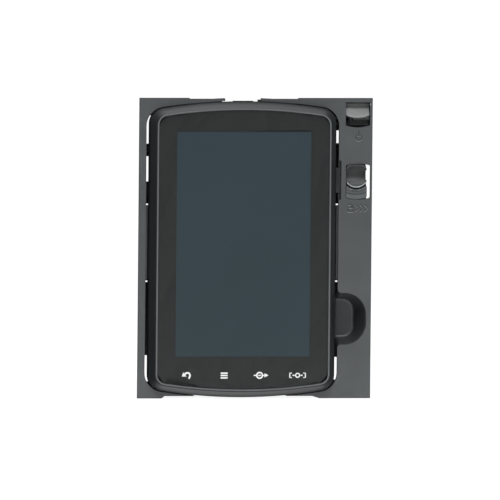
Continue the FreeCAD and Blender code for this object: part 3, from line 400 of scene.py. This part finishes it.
def stroke(path, width, closed=False):
    """The outline strip of a path, as a list of quads of 2-D points."""
    sides = []
    count = len(path)
    for i, (x, z) in enumerate(path):
        before = path[(i - 1) % count] if closed or i > 0 else path[i]
        after = path[(i + 1) % count] if closed or i < count - 1 else path[i]
        along = Vector((after[0] - before[0], after[1] - before[1])).normalized()
        across = Vector((-along.y, along.x)) * width / 2
        sides.append(((x + across.x, z + across.y), (x - across.x, z - across.y)))
    following = sides[1:] + sides[:1] if closed else sides[1:]
    return [[a[0], b[0], b[1], a[1]] for a, b in zip(sides, following)]


def slab(name, body, finish, polygons, front, back, middle):
    """Thin raised artwork: 2-D polygons in millimetres, given depth from front to back."""
    verts, faces = [], []
    for polygon in polygons:
        n = len(polygon)
        base = len(verts)
        for y in (front, back):
            verts += [(middle[0] + x * MM, y, middle[1] + z * MM) for x, z in polygon]
        faces.append(list(range(base, base + n)))
        faces.append(list(range(base + n, base + 2 * n))[::-1])
        for i in range(n):
            j = (i + 1) % n
            faces.append([base + i, base + j, base + n + j, base + n + i])
    return new_piece(name, body, finish, verts, faces)


# ---------------------------------------------------------------- key icons
ICON_FRONT = GLASS_Y - 0.00003
ICON_BACK = GLASS_Y + 0.00002
ICON_Z = 0.0162


def icon(name, offset, polygons):
    middle = (HAND_X + offset * MM, ICON_Z)
    slab(name, "handheld", WHITE_PRINT, polygons, ICON_FRONT, ICON_BACK, middle)


hook = arc(0.55, -0.05, 1.8, 175, -35, 20) + [(1.65, -2.25)]
icon("icon_back", -38.2, stroke(hook, 1.2) + [[(-3.2, -0.75), (-2.3, 2.1), (0.05, -0.75)]])
icon("icon_menu", -12.6, [stroke([(-2.35, z), (2.35, z)], 0.95)[0] for z in (-1.7, -0.05, 1.5)])
ring_stroke = stroke(arc(-1.0, 0, 1.95, 0, 360, 32)[:-1], 0.95, closed=True)
shafts = [stroke([(left, 0), (right, 0)], 0.75)[0] for left, right in ((-5.0, -3.2), (-2.0, 0.0), (1.2, 2.8))]
icon("icon_goto", 12.6, ring_stroke + shafts + [[(2.3, 1.4), (5.0, 0.0), (2.3, -1.4)]])
target = stroke(arc(0, 0, 1.35, 0, 360, 28)[:-1], 0.8, closed=True)
brackets = [
    piece
    for side in (-1, 1)
    for piece in stroke([(side * 3.9, 1.5), (side * 5.3, 1.5), (side * 5.3, -1.5), (side * 3.9, -1.5)], 0.8)
]
ticks = [stroke([(side * 2.0, 0), (side * 3.4, 0)], 0.8)[0] for side in (-1, 1)]
icon("icon_centre", 37.5, target + brackets + ticks)


# ----------------------------------------------------------- moulded symbols
SUNK = 0.0002  # how far raised artwork reaches into the dock's face


def moulded(name, strokes, middle, width, rise=0.0003):
    """Raised artwork: a dark top, painted shade, over a light foot, a painted highlight, that shows along its
    lower edges.
    """
    layers = (("_foot", LIP, width * 0.8, rise * 0.5, -0.38), ("_top", SHADOWED, width, rise, 0.0))
    for suffix, finish, wide, front, drop in layers:
        lowered = [[(x, z + drop) for x, z in path] for path in strokes]
        polygons = [quad for path in lowered for quad in stroke(path, wide)]
        near, far = PLATE_Y - front, PLATE_Y + SUNK
        weld(slab(name + suffix, "dock", finish, polygons, near, far, middle), 0.000005)


moulded("power_symbol", [arc(0, 0, 1.9, 118, 422, 26), [(0, 1.2), (0, 4.9)]], (0.0699, 0.1764), 0.7)
lock_body = [(-6.8, -2.4), (-3.4, -2.4), (-3.4, 0.3), (-6.8, 0.3), (-6.8, -2.4)]
padlock = [lock_body, [(-4.0, 0.3), (-4.0, 1.3)] + arc(-5.1, 1.4, 1.1, 0, 165, 12)]
chevrons = [[(x, 2.3), (x + 2.0, 0), (x, -2.3)] for x in (-1.4, 1.6, 4.6)]
moulded("release_mark", padlock + chevrons, (0.0698, 0.1289), 0.75)


# ----------------------------------------------------- details on the rocker
PIN_LOW, PIN_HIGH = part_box("paddle_pin")
PIN_Y, PIN_Z = (PIN_LOW.y + PIN_HIGH.y) / 2, (PIN_LOW.z + PIN_HIGH.z) / 2
PADDLE_LEFT, PADDLE_RIGHT = (corner.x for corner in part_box("power_paddle"))
PADDLE_X = (PADDLE_LEFT + PADDLE_RIGHT) / 2


def strip_of_ribs(name, count, wide, inner, outer, start, end, steps=8):
    """Small ribs along the rocker's barrel, each an arc from start to end degrees about the pin, in a paler
    plastic as a painted highlight.
    """
    verts, faces = [], []
    pitch = (PADDLE_RIGHT - PADDLE_LEFT - 2 * wide) / (count - 1)
    for rib in range(count):
        left = PADDLE_LEFT + wide / 2 + rib * pitch
        base = len(verts)
        for i in range(steps + 1):
            angle = math.radians(start + (end - start) * i / steps)
            for radius in (inner, outer):
                y, z = PIN_Y + radius * math.cos(angle), PIN_Z + radius * math.sin(angle)
                verts += [(left, y, z), (left + wide, y, z)]
        for i in range(steps):
            a, b = base + 4 * i, base + 4 * (i + 1)
            faces += [[a, b, b + 1, a + 1], [a + 2, a + 3, b + 3, b + 2]]
            faces += [[a, a + 2, b + 2, b], [a + 1, b + 1, b + 3, a + 3]]
        last = base + 4 * steps
        faces += [[base, base + 1, base + 3, base + 2], [last, last + 2, last + 3, last + 1]]
    return new_piece(name, "paddle", PADDLE_HIGHLIGHT, verts, faces)


strip_of_ribs("rocker_ribs", 20, 0.0004, 0.00155, 0.00186, 95, 178)


# ------------------------------------------------------ lines on the latch knob
def bead(name, body, finish, path, width, depth, proud):
    """A low ridge along a path of (x, z) points on the face at depth; all in metres."""
    verts, faces = [], []
    for (x, z), (next_x, next_z) in zip(path, path[1:] + path[-1:]):
        along = Vector((next_x - x, next_z - z))
        across = Vector((-along.y, along.x)).normalized() * width / 2 if along.length else across
        verts += [(x + across.x, depth, z + across.y), (x, depth - proud, z)]
        verts.append((x - across.x, depth, z - across.y))
    for i in range(len(path) - 1):
        a, b = 3 * i, 3 * (i + 1)
        faces += [[a, b, b + 1, a + 1], [a + 1, b + 1, b + 2, a + 2], [a + 2, b + 2, b, a]]
    last = 3 * (len(path) - 1)
    faces += [[0, 1, 2], [last, last + 2, last + 1]]
    return new_piece(name, body, finish, verts, faces, smooth=True)


def pad_line(name, radius, start, end, width, depth, proud):
    """A pale U-shaped line about the latch's thumb pad, a painted highlight where its lip catches the light;
    millimetres and degrees.
    """
    path = arc(*PAD, radius * MM, start, end, 40)
    bead(name, "latch", LIP, path, width * MM, PLATE_Y + depth * MM, proud * MM)


pad_line("pad_lip", 8.0, 218, 325, 0.75, -1.55, 0.22)
pad_line("pad_ledge_line", 10.2, 232, 309, 0.3, -0.36, 0.1)

def crease_on_lip():
    """A low ridge that follows the rocker's curved lip, on the slope of its face, in a paler plastic as a
    painted highlight line.
    """
    slope = 3.4 / 8.2
    verts, faces = [], []
    for x, z in arc(0, 0, 16.3 * MM, 270 - 26, 270 + 26, 26):
        height = ROCKER_LIP[1] + z
        depth = PLATE_Y + 1.2 * MM + (height - 0.1905) * slope
        for across, proud in ((-0.00028, -0.00005), (0.0, 0.00012), (0.00028, -0.00005)):
            verts.append((PADDLE_X + x, depth - proud + across * slope, height + across))
    for a in range(0, len(verts) - 3, 3):
        b = a + 3
        faces += [[a, b, b + 1, a + 1], [a + 1, b + 1, b + 2, a + 2]]
    new_piece("rocker_crease", "paddle", PADDLE_HIGHLIGHT, verts, faces, smooth=True)


crease_on_lip()


# ------------------------------------------------------------------ springs
def spring_coils(node, body, runs, radius, wire, turns, sides=10, steps=20):
    """Coils in place of a CAD spring; each run is (start, end)."""
    start, end = (Vector(p) * MM for p in runs[0])
    along = (end - start).normalized()
    side = along.orthogonal().normalized()
    third = along.cross(side)
    verts, faces = [], []
    for first, last in runs:
        origin = Vector(first) * MM
        length = (Vector(last) - Vector(first)).length * MM - 2 * wire
        base = len(verts)
        total = int(turns * steps)
        for i in range(total + 1):
            angle = 2 * math.pi * i / steps
            outward = side * math.cos(angle) + third * math.sin(angle)
            centre = origin + along * (wire + length * i / total) + outward * radius
            for k in range(sides):
                turn = 2 * math.pi * k / sides
                verts.append(centre + (outward * math.cos(turn) + along * math.sin(turn)) * wire)
        for i in range(total):
            a, b = base + i * sides, base + (i + 1) * sides
            faces += [[a + k, b + k, b + (k + 1) % sides, a + (k + 1) % sides] for k in range(sides)]
        faces.append([base + k for k in range(sides)])
        faces.append([base + total * sides + k for k in range(sides)][::-1])
    piece = new_piece(node + "_coils", body, SPRING, verts, faces, smooth=True)
    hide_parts(node)
    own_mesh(piece)


FRONT = PLATE_Y / MM  # the runs are in millimetres, with depths counted from the dock's face
LATCH_Y = 6.8 + FRONT
latch_runs = [((64.6, LATCH_Y, z), (74.2, LATCH_Y, z)) for z in (137.2, 156.2)]
spring_coils("latch_springs", "dock", latch_runs, 1.3 * MM, 0.2 * MM, 7)
rocker_run = [((71.0, 5.6 + FRONT, 193.0), (71.0, 11.5 + FRONT, 193.0))]
spring_coils("paddle_spring", "dock", rocker_run, 1.4 * MM, 0.22 * MM, 5)
catch_run = [((-9.0, 15.2 + FRONT, 146.0), (-9.0, 15.2 + FRONT, 152.0))]
spring_coils("battery_latch_spring", "handheld", catch_run, 1.2 * MM, 0.25 * MM, 4)


def dome(name, body, finish, x, z, radius, proud, rings=5, sides=20):
    """A low round head on the dock's face."""
    verts = [(x, PLATE_Y - proud, z)]
    for ring in range(1, rings + 1):
        t = ring / rings
        for k in range(sides):
            angle = 2 * math.pi * k / sides
            y = PLATE_Y - proud * (1 - t * t)
            verts.append((x + radius * t * math.cos(angle), y, z + radius * t * math.sin(angle)))
    for k in range(sides):
        angle = 2 * math.pi * k / sides
        verts.append((x + radius * math.cos(angle), PLATE_Y + SUNK, z + radius * math.sin(angle)))
    faces = [[0, 1 + k, 1 + (k + 1) % sides] for k in range(sides)]
    for ring in range(rings):
        a, b = 1 + ring * sides, 1 + (ring + 1) * sides
        faces += [[a + k, b + k, b + (k + 1) % sides, a + (k + 1) % sides] for k in range(sides)]
    return new_piece(name, body, finish, verts, faces, smooth=True)


dome("rocker_pin_head", "dock", STEEL, 0.0778, 0.1989, 0.0005, 0.0003)

# ------------------------------------------------------------- stage and light
FLOOR = Finish("pale_floor")
FLOOR.paint(FLOOR.noise(3.0, 2.0), [(0.3, (0.2, 0.2, 0.2)), (0.7, (0.24, 0.24, 0.24))])
FLOOR.set(rough=0.8, specular=0.1, emission=(1, 1, 1, 1), emit=0.9)

# a round floor that curves up into a wall, wide enough for a camera anywhere about the object
FLOOR_REACH, CURVE, WALL_TOP, SIDES = 14.0, 3.0, 12.0, 64
profile = [(0.0, 0.0), (3.0, 0.0), (FLOOR_REACH, 0.0)]
for t in range(10, 91, 10):
    tilt = math.radians(t)
    profile.append((FLOOR_REACH + CURVE * math.sin(tilt), CURVE - CURVE * math.cos(tilt)))
profile.append((FLOOR_REACH + CURVE, WALL_TOP))
verts, faces = [], []
for reach, z in profile:
    for k in range(SIDES):
        angle = 2 * math.pi * k / SIDES
        verts.append((reach * math.cos(angle), reach * math.sin(angle), z - 0.00002))
for ring in range(len(profile) - 1):
    a, b = ring * SIDES, (ring + 1) * SIDES
    faces += [[a + k, a + (k + 1) % SIDES, b + (k + 1) % SIDES, b + k] for k in range(SIDES)]
mesh = bpy.data.meshes.new("pale_sweep")
mesh.from_pydata(verts, [], faces)
for polygon in mesh.polygons:
    polygon.use_smooth = True
mesh.materials.append(FLOOR.mat)
sweep = bpy.data.objects.new("pale_sweep", mesh)
scene.collection.objects.link(sweep)
sweep.visible_diffuse = False
sweep.visible_glossy = False
sweep.visible_shadow = False


def studio_world(**lobes):
    """White surroundings: each lobe is (axis, sign, sharpness, strength) on a dim base."""
    world = bpy.data.worlds.new("studio")
    scene.world = world
    world.use_nodes = True
    tree = world.node_tree
    background = tree.nodes["Background"]
    coords = tree.nodes.new("ShaderNodeTexCoord")
    split = tree.nodes.new("ShaderNodeSeparateXYZ")
    tree.links.new(coords.outputs["Generated"], split.inputs[0])

    def math_node(operation, a, b):
        node = tree.nodes.new("ShaderNodeMath")
        node.operation = operation
        for socket, source in zip(node.inputs, (a, b)):
            if isinstance(source, float):
                socket.default_value = source
            else:
                tree.links.new(source, socket)
        return node.outputs[0]

    total = 0.03
    for axis, sign, sharpness, strength in lobes.values():
        facing = math_node("MAXIMUM", math_node("MULTIPLY", split.outputs[axis], sign), 0.0)
        lobe = math_node("MULTIPLY", math_node("POWER", facing, sharpness), strength)
        total = math_node("ADD", total, lobe)
    tree.links.new(total, background.inputs["Strength"])
    background.inputs["Color"].default_value = (1.0, 1.0, 1.0, 1.0)


studio_world(
    ceiling=("Z", 1.0, 6.0, 2.2),
    table=("Z", -1.0, 6.0, 2.3),
    camera_side=("Y", -1.0, 1.5, 0.16),
)


def area(name, place, aim, size, power):
    lamp = bpy.data.lights.new(name, "AREA")
    lamp.shape = "RECTANGLE"
    lamp.size, lamp.size_y = size
    lamp.energy = power
    lamp.color = (1.0, 0.995, 0.985)
    holder = bpy.data.objects.new(name, lamp)
    scene.collection.objects.link(holder)
    holder.location = place
    holder.rotation_euler = (Vector(aim) - Vector(place)).to_track_quat("-Z", "Y").to_euler()
    return holder


area("softbox_top", (0.0, -1.0, 1.4), (0, 0, 0.1), (1.2, 0.35), 24)
area("softbox_front", (-0.9, -1.9, 0.1), (0, 0, 0.1), (0.5, 0.5), 6)
area("table_bounce", (0.15, -0.5, -0.25), (0.04, 0, 0.05), (0.8, 0.2), 1.9)


# ------------------------------------------------------------------- camera
AZIMUTH, ELEVATION, ROLL, DISTANCE = -8.0, 3.7, 0.51, 12.0
VIEW_WIDTH = 0.3376
AIM = Vector((-0.00354, PLATE_Y, 0.10045))
a, e, roll = (math.radians(v) for v in (AZIMUTH, ELEVATION, ROLL))
back = Vector((math.sin(a) * math.cos(e), -math.cos(a) * math.cos(e), math.sin(e)))
right = Vector((math.cos(a), math.sin(a), 0))
up = back.cross(right)
right, up = right * math.cos(roll) + up * math.sin(roll), up * math.cos(roll) - right * math.sin(roll)
camera_data = bpy.data.cameras.new("camera")
camera_data.sensor_width = 36.0
camera_data.lens = 36.0 * DISTANCE / VIEW_WIDTH
camera_data.clip_start = 0.01
camera_data.clip_end = 50.0
camera = bpy.data.objects.new("camera", camera_data)
scene.collection.objects.link(camera)
turned = Matrix((right, up, back)).transposed().to_4x4()
camera.matrix_world = Matrix.Translation(AIM + back * DISTANCE) @ turned
scene.camera = camera
